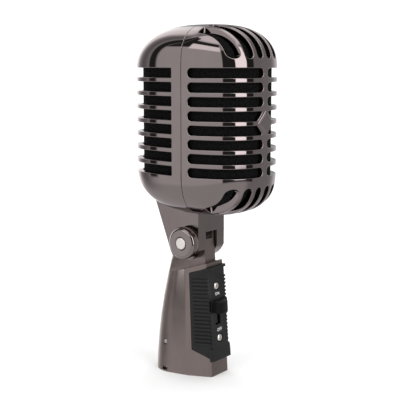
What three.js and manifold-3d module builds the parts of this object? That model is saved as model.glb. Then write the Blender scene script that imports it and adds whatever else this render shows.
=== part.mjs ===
// Retro dynamic vocal microphone: a slotted die-cast head on a tilting yoke, and a hollow base
// with a stand thread, a three-pin outlet and a sliding switch behind a ribbed cover.
// Millimetres. X is across the microphone, -Y is its front and +Z is up. The origin is on the
// flat underside of the base, on the web between the stand bush and the outlet.

import * as THREE from 'three';
import { mergeVertices } from 'three/addons/utils/BufferGeometryUtils.js';
import Module from 'manifold-3d';

const wasm = await Module();
wasm.setup();

// ---------- driving dimensions ----------

const GAP = 0.3;                    // clearance between fitted pieces
const FAR = 60;                     // beyond every piece, for cutting solids

// head: plan outline is a superellipse about the seam plane, deeper behind it than in front
const HEAD_HALF_WIDTH = 28.06;
const HEAD_FRONT = 34.57;           // seam plane to the front
const HEAD_REAR = 43.63;            // seam plane to the back
const PLAN_POWER_FRONT = 2.55;
const PLAN_POWER_REAR = 3.36;
const BARREL_TOP = 27.19;           // straight wall, measured from the middle of the slots
const BARREL_BOTTOM = -25.78;
const DOME_TOP_HEIGHT = 24.49;
const DOME_BOTTOM_HEIGHT = 25.6;
const DOME_TOP_POWER = { side: 3.0, front: 2.53, rear: 2.18 };
const DOME_BOTTOM_POWER = { side: 2.9, front: 2.87, rear: 2.31 };
const SHELL_WALL = 2.5;
const LINER_INSET = 3.3;            // outside of the head to the outside of the liner
const LINER_WALL = 1.2;
const SEAM_BAND_FRONT = 3.4;
const SEAM_BAND_REAR = 4.6;

// side slots
const SLOT_COUNT = 8;
const SLOT_PITCH = 7.42;
const SLOT_HEIGHT = 5.0;
const FRONT_SLOT_START = 4.2;       // ahead of the seam plane
const REAR_SLOT_START = 6.7;        // behind the seam plane
const FRONT_BAR_HALF = 1.9;
const REAR_BAR_HALF = 4.0;

// dome slots, [centre, width] across the head
const DOME_SLOTS = [[4.0, 4.8], [11.4, 5.2], [19.1, 5.6]];
const DOME_SLOT_TOP = { start: 6.6, end: 33.4 };       // ahead of the seam, height of the round end
const DOME_SLOT_BOTTOM = { start: 11.5, end: -34.0 };

const EMBLEM_HALF_WIDTH = 8.0;
const EMBLEM_HALF_HEIGHT = 7.9;
const EMBLEM_MARGIN = 1.5;
const EMBLEM_THICKNESS = 0.9;

// capsule, its axis level with the middle of the slots
const CAPSULE_RADIUS = 14;
const CAPSULE_CENTRE = -2;          // ahead of the seam plane
const SHOCK_RING_OUTER = 17;
const CARRIER_RING_OUTER = 19.2;
const CARRIER_FOOT = 2;

// tilt hinge
const REST_TILT = 3.88;             // degrees, head forward of square to the base
const PIVOT_BEHIND_FRONT = 8.9;     // behind the front face of the base
const PIVOT_HEIGHT = 78.1;
const SEAM_AHEAD_OF_PIVOT = 8.8;
const SLOT_MIDDLE_ABOVE_PIVOT = 67.73;
const YOKE_HALF_WIDTH = 11.8;
const YOKE_SLOT_HALF = 5.1;
const YOKE_FRONT = 7.6;             // pivot to the front face
const YOKE_POCKET_RADIUS = 9.35;
const YOKE_SLOT_CEILING = 4.5;      // above the pivot
const YOKE_SCREW_PLACES = [[-5, 12], [5, 12], [0, 21.5]];
const YOKE_SCREW_RADIUS = 1.3;
const YOKE_SCREW_LENGTH = 10.7;
const BOLT_RADIUS = 2.4;
const BOLT_HEAD_RADIUS = 3.35;
const CAP_RADIUS = 9.0;
const CAP_FACE_RADIUS = 7.9;
const CAP_INNER = 13.7;
const CAP_OUTER = 18.3;
const WASHER_RADIUS = 8.2;
const NUT_RADIUS = 4.2;
const NUT_SINK = 3.2;

// base
const BASE_ORIGIN = 21;             // front face of the base to the origin
const BASE_FRONT_HALF = 7.6;
const BASE_SIDE_SLOPE = 0.28;       // side faces open out backwards
const BASE_TOP = 68.5;
// [height, depth of the back, half-width of the round back, where the round back starts]
const BACK_STATIONS = [
  [0, 43.9, 12.6, 27], [10, 43.1, 11.6, 26.8], [20, 41.9, 10.5, 26.5], [30, 40.2, 9.5, 26],
  [40, 37.9, 8.4, 25.2], [50, 35.2, 7.2, 24.3], [60, 32.1, 6.2, 22.6], [BASE_TOP, 29.2, 5.5, 20],
];
const BACK_POWER = 2.2;
const BACK_STEPS = 7;
const CREASE_BEHIND_FRONT = { bottom: 14.5, top: 12.5 };
const SHOULDER_HEIGHT = 65.7;       // at the front face
const SHOULDER_SLOPE = 0.268;       // falls backwards
const NECK_HALF = 4.65;
const NECK_FRONT = 2.8;
const NECK_WALL = 1.8;
const LUG_RADIUS = 8.6;
const LUG_BACK = 16.6;
const BASE_WALL = 2.0;

// underside fittings
const STAND_CENTRE = 10.6;          // behind the front face
const STAND_BORE_RADIUS = 7.45;
const STAND_BUSH_RADIUS = 9.0;
const STAND_BUSH_HEIGHT = 8.4;
const OUTLET_CENTRE = 31.4;
const OUTLET_RADIUS = 8.1;
const OUTLET_SHELL_RADIUS = 8.9;
const OUTLET_DEPTH = 13;
const OUTLET_SHELL_HEIGHT = 19;
const OUTLET_SCREW_HEIGHT = 17.3;
const LATCH_HALF_WIDTH = 2.1;
const LATCH_SPAN = [0.8, 3.0];
const PIN_RADIUS = 1.2;
const PIN_CIRCLE = 4.8;
const PIN_ANGLES = [40, 140, 270];

// switch
const COVER_TOP = 63.2;
const COVER_BOTTOM = 9.4;
const COVER_FRONT = { bottom: 1.6, top: 0.6 };         // ahead of the base's front face
const COVER_WALL = 1.7;
const COVER_HALF = 7.75;
const RIB_PITCH = 2.17;
const RIB_COUNT = 18;
const RIB_LOWEST = 19.2;
const RIB_PROUD = 0.75;
const KNOB_SPAN = [37.3, 43.9];     // at its root
const KNOB_DROOP = 0.35;            // fall for each millimetre forward
const KNOB_ROOT = 1.45;             // ahead of the base's front face
const KNOB_FLANGE = 2.3;
const KNOB_TIP = 5.2;
const KNOB_FLANGE_HALF = 7.5;
const KNOB_HALF = 5.0;
const SLIDE_SLOT_HALF = 1.4;
const SLIDE_SLOT_SPAN = [30.4, 42.3];
const ACTUATOR_SPAN = [37.6, 41.8];
const SCREW_HEIGHTS = { upper: 51.4, lower: 21.4 };

// ---------- materials ----------

function finish(color, roughness, metalness) {
  return { color, roughness, metalness };
}

const GUNMETAL = finish(0x5e5856, 0.18, 1.0);
const STEEL = finish(0xb9b6b0, 0.3, 1.0);
const DARK_STEEL = finish(0x6c6a67, 0.4, 1.0);
const BRASS = finish(0xb08d4b, 0.35, 1.0);
const BLACK_PLASTIC = finish(0x1c1c1e, 0.55, 0.0);
const BLACK_CLOTH = finish(0x111112, 0.95, 0.0);
const RUBBER = finish(0x1a1a1a, 0.85, 0.0);
const CREAM_FILM = finish(0xd8d2c0, 0.4, 0.0);
const COPPER = finish(0xb4693a, 0.35, 1.0);
const AMBER_PLASTIC = finish(0x6b4a2a, 0.5, 0.0);

// ---------- solid helpers ----------

function toSolid(geometry) {
  const bare = geometry.clone();
  bare.deleteAttribute('normal');
  bare.deleteAttribute('uv');
  const merged = mergeVertices(bare, 1e-4);
  return new wasm.Manifold(new wasm.Mesh({
    numProp: 3,
    vertProperties: new Float32Array(merged.attributes.position.array),
    triVerts: new Uint32Array(merged.index.array),
  }));
}

function toGeometry(solid) {
  const mesh = solid.getMesh();
  const geometry = new THREE.BufferGeometry();
  geometry.setAttribute('position', new THREE.BufferAttribute(new Float32Array(mesh.vertProperties), 3));
  geometry.setIndex(new THREE.BufferAttribute(new Uint32Array(mesh.triVerts), 1));
  geometry.computeVertexNormals();
  return geometry;
}

function join(solids) {
  return solids.reduce((whole, piece) => whole.add(piece));
}

function shapeOf(points) {
  return new THREE.Shape(points.map(([u, v]) => new THREE.Vector2(u, v)));
}

function extrude(shape, depth, curveSegments = 2) {
  return new THREE.ExtrudeGeometry(shape, { depth, bevelEnabled: false, curveSegments });
}

const AXES = {
  x: new THREE.Vector3(1, 0, 0),
  y: new THREE.Vector3(0, 1, 0),
  z: new THREE.Vector3(0, 0, 1),
};

// outline given as (y, z), from x0 to x1
function prismX(shape, x0, x1) {
  const turn = new THREE.Matrix4().makeBasis(AXES.y, AXES.z, AXES.x);
  return toSolid(extrude(shape, x1 - x0).applyMatrix4(turn).translate(x0, 0, 0));
}

// outline given as (x, z), from y0 to y1
function prismY(shape, y0, y1) {
  const turn = new THREE.Matrix4().makeBasis(AXES.x, AXES.z, AXES.y.clone().negate());
  return toSolid(extrude(shape, y1 - y0).applyMatrix4(turn).translate(0, y1, 0));
}

// outline given as (x, y), from z0 to z1
function prismZ(shape, z0, z1) {
  return toSolid(extrude(shape, z1 - z0).translate(0, 0, z0));
}

function block([x0, x1], [y0, y1], [z0, z1]) {
  const geometry = new THREE.BoxGeometry(x1 - x0, y1 - y0, z1 - z0);
  return toSolid(geometry.translate((x0 + x1) / 2, (y0 + y1) / 2, (z0 + z1) / 2));
}

// profile points are [radius, distance along the axis]
function turned(profile, axis = 'z', segments = 24) {
  const geometry = new THREE.LatheGeometry(profile.map(([r, a]) => new THREE.Vector2(r, a)), segments);
  if (axis === 'z') geometry.rotateX(Math.PI / 2);
  if (axis === 'x') geometry.rotateZ(-Math.PI / 2);
  if (axis === 'front') geometry.rotateX(Math.PI);
  return toSolid(geometry);
}

function rod(radius, from, to, axis = 'z', segments = 20) {
  return turned([[0, from], [radius, from], [radius, to], [0, to]], axis, segments);
}

function tube(inner, outer, from, to, axis = 'z', segments = 24) {
  return turned([[inner, from], [outer, from], [outer, to], [inner, to], [inner, from]], axis, segments);
}

// closed body through rings of equal point count; a ring of one point is a pole
function loft(rings) {
  const positions = [];
  const starts = rings.map((ring) => {
    const start = positions.length / 3;
    ring.forEach((point) => positions.push(...point));
    return start;
  });
  const index = [];
  for (let level = 0; level + 1 < rings.length; level += 1) {
    bridge(index, rings[level], starts[level], rings[level + 1], starts[level + 1]);
  }
  capRing(index, rings[0], starts[0], true);
  capRing(index, rings[rings.length - 1], starts[rings.length - 1], false);
  const geometry = new THREE.BufferGeometry();
  geometry.setAttribute('position', new THREE.BufferAttribute(new Float32Array(positions), 3));
  geometry.setIndex(index);
  return toSolid(geometry);
}

function bridge(index, lower, lowerStart, upper, upperStart) {
  const count = Math.max(lower.length, upper.length);
  for (let i = 0; i < count; i += 1) {
    const next = (i + 1) % count;
    if (upper.length === 1) index.push(lowerStart + i, lowerStart + next, upperStart);
    else if (lower.length === 1) index.push(lowerStart, upperStart + next, upperStart + i);
    else {
      index.push(lowerStart + i, lowerStart + next, upperStart + next);
      index.push(lowerStart + i, upperStart + next, upperStart + i);
    }
  }
}

function capRing(index, ring, start, facesDown) {
  if (ring.length === 1) return;
  const flat = ring.map(([x, y]) => new THREE.Vector2(x, y));
  THREE.ShapeUtils.triangulateShape(flat, []).forEach(([a, b, c]) => {
    if (facesDown) index.push(start + a, start + c, start + b);
    else index.push(start + a, start + b, start + c);
  });
}

// ---------- head form ----------

function signedPower(value, power) {
  return Math.sign(value) * Math.abs(value) ** power;
}

// the profile's power changes from the side of the head to its ends
function domePower(powers, cosine) {
  const end = cosine >= 0 ? powers.front : powers.rear;
  const share = Math.min(1, (Math.abs(cosine) / 0.84) ** 2);
  return powers.side + (end - powers.side) * share;
}

function headRing(inset, powers, climb, base, height, segments) {
  const ring = [];
  for (let i = 0; i < segments; i += 1) {
    const angle = ((i + 0.5) / segments) * 2 * Math.PI;
    const cosine = Math.cos(angle);
    const sine = Math.sin(angle);
    const ahead = cosine >= 0;
    const planPower = 2 / (ahead ? PLAN_POWER_FRONT : PLAN_POWER_REAR);
    const reach = (ahead ? HEAD_FRONT : HEAD_REAR) - inset;
    const power = 2 / domePower(powers, cosine);
    const shrink = Math.cos(climb) ** power;
    const rise = Math.sin(climb) ** power;
    ring.push([
      shrink * (HEAD_HALF_WIDTH - inset) * signedPower(sine, planPower),
      -shrink * reach * signedPower(cosine, planPower),
      base + (height - Math.sign(height) * inset) * rise,
    ]);
  }
  return ring;
}

function headForm(inset, segments = 44, rows = 5) {
  const rings = [[[0, 0, BARREL_BOTTOM - DOME_BOTTOM_HEIGHT + inset]]];
  for (let row = rows - 1; row >= 0; row -= 1) {
    const climb = (row / rows) * (Math.PI / 2);
    rings.push(headRing(inset, DOME_BOTTOM_POWER, climb, BARREL_BOTTOM, -DOME_BOTTOM_HEIGHT, segments));
  }
  for (let row = 0; row < rows; row += 1) {
    const climb = (row / rows) * (Math.PI / 2);
    rings.push(headRing(inset, DOME_TOP_POWER, climb, BARREL_TOP, DOME_TOP_HEIGHT, segments));
  }
  rings.push([[0, 0, BARREL_TOP + DOME_TOP_HEIGHT - inset]]);
  return loft(rings);
}

function linerForm(inset) {
  return headForm(LINER_INSET + inset, 28, 4);
}

function frontHalf(solid, start = GAP / 2) {
  return solid.intersect(block([-FAR, FAR], [-FAR, -start], [-FAR, FAR]));
}

function rearHalf(solid, start = GAP / 2) {
  return solid.intersect(block([-FAR, FAR], [start, FAR], [-FAR, FAR]));
}

// ---------- head slots ----------

function diamond(halfWidth, halfHeight) {
  return shapeOf([[halfWidth, 0], [0, halfHeight], [-halfWidth, 0], [0, -halfHeight]]);
}

function slotHeights() {
  return Array.from({ length: SLOT_COUNT }, (_, i) => (i - (SLOT_COUNT - 1) / 2) * SLOT_PITCH);
}

// outline that runs from a round end at u = start out to u = FAR
function roundEndedSlot(start, middle, width) {
  const radius = width / 2;
  const shape = new THREE.Shape();
  shape.moveTo(start + radius, middle - radius);
  shape.lineTo(FAR, middle - radius);
  shape.lineTo(FAR, middle + radius);
  shape.lineTo(start + radius, middle + radius);
  shape.absarc(start + radius, middle, radius, Math.PI / 2, 1.5 * Math.PI, false);
  return shape;
}

function frontSlotCutters() {
  const cutters = [];
  slotHeights().forEach((height) => {
    const side = prismX(roundEndedSlot(FRONT_SLOT_START, height, SLOT_HEIGHT), -FAR, FAR).mirror([0, 1, 0]);
    const right = prismY(roundEndedSlot(FRONT_BAR_HALF, height, SLOT_HEIGHT), -FAR, 0);
    cutters.push(side.intersect(right), side.intersect(right.mirror([1, 0, 0])));
  });
  return join(cutters).subtract(prismY(diamond(EMBLEM_HALF_WIDTH, EMBLEM_HALF_HEIGHT), -FAR, 0));
}

function rearSlotCutters() {
  const half = SLOT_HEIGHT / 2;
  const cutters = [];
  slotHeights().forEach((height) => {
    [-1, 1].forEach((side) => {
      const span = [side * REAR_BAR_HALF, side * FAR].sort((a, b) => a - b);
      cutters.push(block(span, [REAR_SLOT_START, FAR], [height - half, height + half]));
    });
  });
  return join(cutters);
}

function domeSlotCutters() {
  const cutters = [];
  DOME_SLOTS.forEach(([middle, width]) => {
    [-1, 1].forEach((side) => {
      const x = side * middle;
      cutters.push(domeSlot(x, width, DOME_SLOT_TOP), domeSlot(x, width, DOME_SLOT_BOTTOM));
    });
  });
  return join(cutters);
}

function domeSlot(x, width, { start, end }) {
  const radius = width / 2;
  const up = Math.sign(end);
  const shape = new THREE.Shape();
  shape.moveTo(x - radius, end + up * radius);
  shape.absarc(x, end + up * radius, radius, Math.PI, up > 0 ? 2 * Math.PI : 0, up < 0);
  shape.lineTo(x + radius, up * FAR);
  shape.lineTo(x - radius, up * FAR);
  return prismY(shape, -FAR, -start);
}

// ---------- head pieces ----------

function headPieces(add) {
  const outer = headForm(0);
  const inner = headForm(SHELL_WALL);
  const shell = outer.subtract(inner);
  const screwHoles = join(YOKE_SCREW_PLACES.map((place) => yokeScrewHole(place)));
  add('front_grille', frontHalf(shell).subtract(frontSlotCutters()).subtract(domeSlotCutters()), GUNMETAL);
  add('rear_grille', rearHalf(shell).subtract(rearSlotCutters()).subtract(screwHoles), GUNMETAL);
  add('emblem_plate', emblemPlate(), GUNMETAL);

  const liner = linerForm(0).subtract(linerForm(LINER_WALL));
  const foot = block([-9, 9], [SEAM_BAND_REAR, 27], [-FAR, -30]);
  add('front_liner', frontHalf(liner, SEAM_BAND_FRONT + GAP), BLACK_CLOTH);
  add('rear_liner', rearHalf(liner, SEAM_BAND_REAR + GAP).subtract(foot), BLACK_CLOTH);
  const bandSpan = block([-FAR, FAR], [-SEAM_BAND_FRONT, SEAM_BAND_REAR], [-FAR, FAR]);
  add('seam_band', liner.intersect(bandSpan), DARK_STEEL);
}

function emblemPlate() {
  const front = -HEAD_FRONT - EMBLEM_THICKNESS;
  const outline = diamond(EMBLEM_HALF_WIDTH - EMBLEM_MARGIN, EMBLEM_HALF_HEIGHT - EMBLEM_MARGIN);
  const plate = prismY(outline, front, -HEAD_FRONT + 3);
  return plate.subtract(headForm(-0.05)).intersect(headForm(-EMBLEM_THICKNESS));
}

function capsulePieces(add) {
  const place = (solid) => solid.translate([0, -CAPSULE_CENTRE, 0]);
  const holes = [0, 1, 2, 3, 4, 5].map((i) => {
    const angle = (i * Math.PI) / 3;
    return rod(1.6, 11, 16, 'front', 10).translate([8 * Math.cos(angle), 0, 8 * Math.sin(angle)]);
  });
  const cap = turned([[2.2, 12.3], [CAPSULE_RADIUS, 12.3], [CAPSULE_RADIUS, 14.4], [2.2, 14.9], [2.2, 12.3]], 'front');
  add('capsule_cap', place(cap.subtract(join(holes))), DARK_STEEL);
  add('capsule_housing', place(turned([
    [0, -16], [CAPSULE_RADIUS, -16], [CAPSULE_RADIUS, 12], [12.8, 12], [12.8, -14.5], [0, -14.5],
  ], 'front')), DARK_STEEL);
  add('diaphragm', place(turned([
    [0, 9.9], [4.4, 9.1], [6.6, 7.6], [9.5, 8.7], [12.4, 7.8], [12.4, 8.2], [9.5, 9.1], [6.6, 8.1],
    [4.5, 9.6], [0, 10.4],
  ], 'front')), CREAM_FILM);
  add('voice_coil', place(tube(5.9, 6.5, 1.2, 7.2, 'front')), COPPER);
  add('magnet', place(rod(5, -4.2, 0.5, 'front')), DARK_STEEL);
  add('pole_disc', place(rod(5.4, 0.8, 3.4, 'front')), STEEL);
  add('pole_cup', place(turned([
    [0, -6.2], [9.6, -6.2], [9.6, 4.2], [7.2, 4.2], [7.2, -4.5], [0, -4.5],
  ], 'front')), STEEL);
  const inner = CAPSULE_RADIUS + GAP;
  add('shock_ring_front', place(tube(inner, SHOCK_RING_OUTER, 2, 8, 'front', 28)), RUBBER);
  add('shock_ring_rear', place(tube(inner, SHOCK_RING_OUTER, -12, -6, 'front', 28)), RUBBER);
  add('capsule_carrier', carrier(), DARK_STEEL);
}

// ring round the shock rings on a foot that follows the inside of the lower dome
function carrier() {
  const ring = tube(SHOCK_RING_OUTER + GAP, CARRIER_RING_OUTER, -12, 8, 'front', 28)
    .translate([0, -CAPSULE_CENTRE, 0]);
  const leg = block([-1.6, 1.6], [6, 16], [-48, -CARRIER_RING_OUTER + 1.4]);
  const skirt = linerForm(0).subtract(linerForm(CARRIER_FOOT));
  const foot = skirt.intersect(block([-8.4, 8.4], [5.6, 26], [-FAR, -30]));
  const trimmedLeg = leg.intersect(linerForm(CARRIER_FOOT / 2));
  const holes = YOKE_SCREW_PLACES.map((place) => yokeScrewHole(place).add(yokeScrewSpot(place)));
  return join([ring, trimmedLeg, foot]).subtract(join(holes));
}

// ---------- yoke and hinge, about the pivot ----------

function yokeScrewHole([x, y]) {
  return rod(YOKE_SCREW_RADIUS + GAP, -FAR, -40, 'z', 12).translate([x, y, 0]);
}

function yokeScrewSeat([x, y]) {
  return domeFloor(x, y) + LINER_INSET + CARRIER_FOOT;
}

function yokeScrewSpot([x, y]) {
  return rod(2.8, yokeScrewSeat([x, y]) - GAP, -30, 'z', 16).translate([x, y, 0]);
}

function yokeScrew([x, y]) {
  const seat = yokeScrewSeat([x, y]);
  const tip = seat - YOKE_SCREW_LENGTH;
  return turned([
    [0, tip], [YOKE_SCREW_RADIUS, tip], [YOKE_SCREW_RADIUS, seat], [2.4, seat],
    [2.4, seat + 1], [1.2, seat + 1.8], [0, seat + 1.8],
  ], 'z', 16).translate([x, y, 0]);
}

// height of the outside of the lower dome below a place near its middle
function domeFloor(x, y) {
  const power = DOME_BOTTOM_POWER.rear;
  const across = Math.abs(x / HEAD_HALF_WIDTH) ** PLAN_POWER_REAR;
  const along = Math.abs(y / HEAD_REAR) ** PLAN_POWER_REAR;
  const reach = (across + along) ** (power / PLAN_POWER_REAR);
  return BARREL_BOTTOM - DOME_BOTTOM_HEIGHT * (1 - reach) ** (1 / power);
}

function yokeOutline() {
  return shapeOf([
    [-YOKE_FRONT, 25], [-YOKE_FRONT, -3.6], [-6.5, -5.7], [-5.2, -7.5], [-3.8, -9.0], [-1.8, -10.2],
    [9.0, -10.2], [11.2, -8.9], [12.6, -6.5], [13.6, -3.7], [24.8, 25],
  ]);
}

function yoke() {
  const body = prismX(yokeOutline(), -YOKE_HALF_WIDTH, YOKE_HALF_WIDTH);
  const slot = block([-YOKE_SLOT_HALF, YOKE_SLOT_HALF], [-FAR, FAR], [-FAR, YOKE_SLOT_CEILING]);
  const pocket = rod(YOKE_POCKET_RADIUS, -YOKE_SLOT_HALF, YOKE_SLOT_HALF, 'x', 32);
  const bore = rod(BOLT_RADIUS + GAP, -FAR, FAR, 'x');
  const nutSeat = rod(NUT_RADIUS + 0.6, YOKE_HALF_WIDTH - NUT_SINK, FAR, 'x');
  const toPivot = [0, -SEAM_AHEAD_OF_PIVOT, SLOT_MIDDLE_ABOVE_PIVOT];
  const saddle = headForm(-0.35).translate(toPivot);
  const holes = YOKE_SCREW_PLACES.map(([x, y]) => {
    const bottom = domeFloor(x, y) - 6;
    return rod(YOKE_SCREW_RADIUS + GAP, bottom, -40, 'z', 12).translate([x, y, 0]).translate(toPivot);
  });
  return body.subtract(join([slot, pocket, bore, nutSeat, saddle, ...holes]));
}

// cap on the -X side; the nut on the other side is sunk in the yoke
function pivotCap() {
  const seat = BOLT_HEAD_RADIUS + GAP;
  const cap = turned([
    [seat, CAP_INNER], [CAP_RADIUS - 0.4, CAP_INNER], [CAP_RADIUS, CAP_INNER + 0.5],
    [CAP_RADIUS, CAP_OUTER - 1.3], [CAP_RADIUS - 0.4, CAP_OUTER - 0.5],
    [CAP_FACE_RADIUS, CAP_OUTER], [seat, CAP_OUTER], [seat, CAP_INNER],
  ], 'x', 32);
  return cap.mirror([1, 0, 0]);
}

function hingePieces(add) {
  add('yoke', yoke(), GUNMETAL);
  const headFace = CAP_OUTER + 0.15;
  add('pivot_bolt', turned([
    [0, -headFace], [BOLT_HEAD_RADIUS, -headFace], [BOLT_HEAD_RADIUS, -CAP_INNER],
    [BOLT_RADIUS, -CAP_INNER], [BOLT_RADIUS, YOKE_HALF_WIDTH - 0.5], [0, YOKE_HALF_WIDTH - 0.5],
  ], 'x', 32), STEEL);
  const nut = rod(NUT_RADIUS, YOKE_HALF_WIDTH - NUT_SINK + GAP, YOKE_HALF_WIDTH - 0.4, 'x', 6);
  add('pivot_nut', nut.subtract(rod(BOLT_RADIUS + GAP, 0, 20, 'x')), STEEL);
  add('pivot_cap', pivotCap(), GUNMETAL);
  const washer = tube(BOLT_RADIUS + GAP, WASHER_RADIUS, -CAP_INNER + GAP, -YOKE_HALF_WIDTH - GAP, 'x', 28);
  add('friction_washer', washer, AMBER_PLASTIC);
}

// ---------- base ----------

function mix(a, b, share) {
  return a + (b - a) * share;
}

function baseRing([height, depth, backHalf, backStart], inset) {
  const crease = mix(CREASE_BEHIND_FRONT.bottom, CREASE_BEHIND_FRONT.top, height / BASE_TOP);
  const front = inset;
  const halfAt = (back) => BASE_FRONT_HALF + BASE_SIDE_SLOPE * back - inset;
  const side = [[halfAt(front), front], [halfAt(crease), crease]];
  for (let i = 0; i <= BACK_STEPS; i += 1) {
    const angle = (i / BACK_STEPS) * (Math.PI / 2);
    const x = (backHalf - inset) * Math.cos(angle) ** (2 / BACK_POWER);
    const reach = depth - inset - backStart;
    side.push([x, backStart + reach * Math.sin(angle) ** (2 / BACK_POWER)]);
  }
  side[side.length - 1][0] = 0;
  const mirrored = side.slice(0, -1).reverse().map(([x, back]) => [-x, back]);
  return [...side, ...mirrored].map(([x, back]) => [x, back - BASE_ORIGIN, height]);
}

function baseForm(inset, from = 0, to = BASE_TOP) {
  const stations = BACK_STATIONS.filter(([height]) => height >= from && height <= to);
  return loft(stations.map((station) => baseRing(station, inset)));
}

function behind(distance) {
  return distance - BASE_ORIGIN;
}

function aboveShoulder(side) {
  const shape = shapeOf([
    [behind(-5), SHOULDER_HEIGHT + 5 * SHOULDER_SLOPE],
    [behind(50), SHOULDER_HEIGHT - 50 * SHOULDER_SLOPE],
    [behind(50), 90],
    [behind(-5), 90],
  ]);
  const span = [side * NECK_HALF, side * FAR].sort((a, b) => a - b);
  return prismX(shape, ...span);
}

function neckLugs() {
  const plate = shapeOf([
    [behind(NECK_FRONT), SHOULDER_HEIGHT - 4], [behind(LUG_BACK), SHOULDER_HEIGHT - 4],
    [behind(LUG_BACK), PIVOT_HEIGHT], [behind(NECK_FRONT), PIVOT_HEIGHT],
  ]);
  const round = rod(LUG_RADIUS, -NECK_HALF, NECK_HALF, 'x', 32)
    .translate([0, behind(PIVOT_BEHIND_FRONT), PIVOT_HEIGHT]);
  const trim = block([-FAR, FAR], [behind(NECK_FRONT), behind(LUG_BACK)], [0, 100]);
  return prismX(plate, -NECK_HALF, NECK_HALF).add(round).intersect(trim);
}

// passage for the leads through the neck, and the open mouth between the two lugs
function neckPassage() {
  const half = NECK_HALF - NECK_WALL;
  const passage = block([-half, half], [behind(NECK_FRONT + NECK_WALL), behind(14.8)], [55, 100]);
  const mouth = block([-half, half], [behind(-5), behind(30)], [PIVOT_HEIGHT + 0.4, 100]);
  return passage.add(mouth);
}

function coverBlock(grow) {
  const halfAt = (back) => COVER_HALF + BASE_SIDE_SLOPE * back + grow;
  const front = -4;
  const back = 13;
  const plan = shapeOf([
    [-halfAt(front), behind(front)], [halfAt(front), behind(front)],
    [halfAt(back), behind(back)], [-halfAt(back), behind(back)],
  ]);
  const side = shapeOf([
    [behind(-COVER_FRONT.bottom - grow), COVER_BOTTOM - grow],
    [behind(11.0 + grow), 15.8 - grow],
    [behind(10.0 + grow), 59.8 + grow],
    [behind(-COVER_FRONT.top - grow), COVER_TOP + grow],
  ]);
  return prismZ(plan, 0, 70).intersect(prismX(side, -FAR, FAR));
}

function coverHollow() {
  const halfAt = (back) => COVER_HALF + BASE_SIDE_SLOPE * back - COVER_WALL;
  const plan = shapeOf([
    [-halfAt(0.8), behind(0.8)], [halfAt(0.8), behind(0.8)],
    [halfAt(20), behind(20)], [-halfAt(20), behind(20)],
  ]);
  const side = shapeOf([
    [behind(0.8), 12.6], [behind(20), 21.4], [behind(20), 54.4], [behind(0.8), 60.6],
  ]);
  return prismZ(plan, 0, 70).intersect(prismX(side, -FAR, FAR));
}

function rib(side, height) {
  const angle = Math.atan(BASE_SIDE_SLOPE);
  const length = 10.2;
  const geometry = new THREE.BoxGeometry(2 * RIB_PROUD, length, RIB_PITCH / 2);
  geometry.rotateZ(-side * angle);
  const back = 4.1;
  geometry.translate(side * (COVER_HALF + BASE_SIDE_SLOPE * back), behind(back), height);
  return toSolid(geometry);
}

function alongBase(radius, from, to, height, segments = 20) {
  const solid = rod(radius, -behind(from), -behind(to), 'front', segments);
  return solid.translate([0, 0, height]);
}

function baseHousing() {
  const shell = baseForm(0);
  const cavity = baseForm(BASE_WALL, 20, 50).subtract(block([-FAR, FAR], [-FAR, behind(6)], [0, 100]));
  const posts = join(Object.values(SCREW_HEIGHTS).map((height) => alongBase(2.7, 38, 1.2, height)));
  const pilots = join(Object.values(SCREW_HEIGHTS).map((height) => alongBase(1.4, 9, -3, height, 12)));
  const hollow = join([cavity, coverBlock(GAP)]).subtract(posts);
  const aboveNeck = block([-FAR, FAR], [behind(-9), behind(NECK_FRONT)], [SHOULDER_HEIGHT - 0.4, 100]);
  const cuts = [
    hollow, pilots, neckPassage(), aboveShoulder(-1), aboveShoulder(1), aboveNeck,
    rod(STAND_BUSH_RADIUS + GAP, -1, STAND_BUSH_HEIGHT + GAP, 'z', 32)
      .translate([0, behind(STAND_CENTRE), 0]),
    rod(OUTLET_SHELL_RADIUS + GAP, -1, 20.5, 'z', 32).translate([0, behind(OUTLET_CENTRE), 0]),
    rod(BOLT_RADIUS + GAP, -FAR, FAR, 'x').translate([0, behind(PIVOT_BEHIND_FRONT), PIVOT_HEIGHT]),
    rod(1.7, -FAR, 0, 'x', 16).translate([0, behind(OUTLET_CENTRE), OUTLET_SCREW_HEIGHT]),
    latchWindow().translate([0, behind(OUTLET_CENTRE), 0]),
  ];
  return shell.add(neckLugs()).subtract(join(cuts));
}

// flange across the front of the cover, its front corners cut
function lipOutline(half, reach) {
  return shapeOf([
    [-half, behind(-GAP)], [-half, behind(-reach + 1.3)], [-half + 1.4, behind(-reach)],
    [half - 1.4, behind(-reach)], [half, behind(-reach + 1.3)], [half, behind(-GAP)],
  ]);
}

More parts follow.
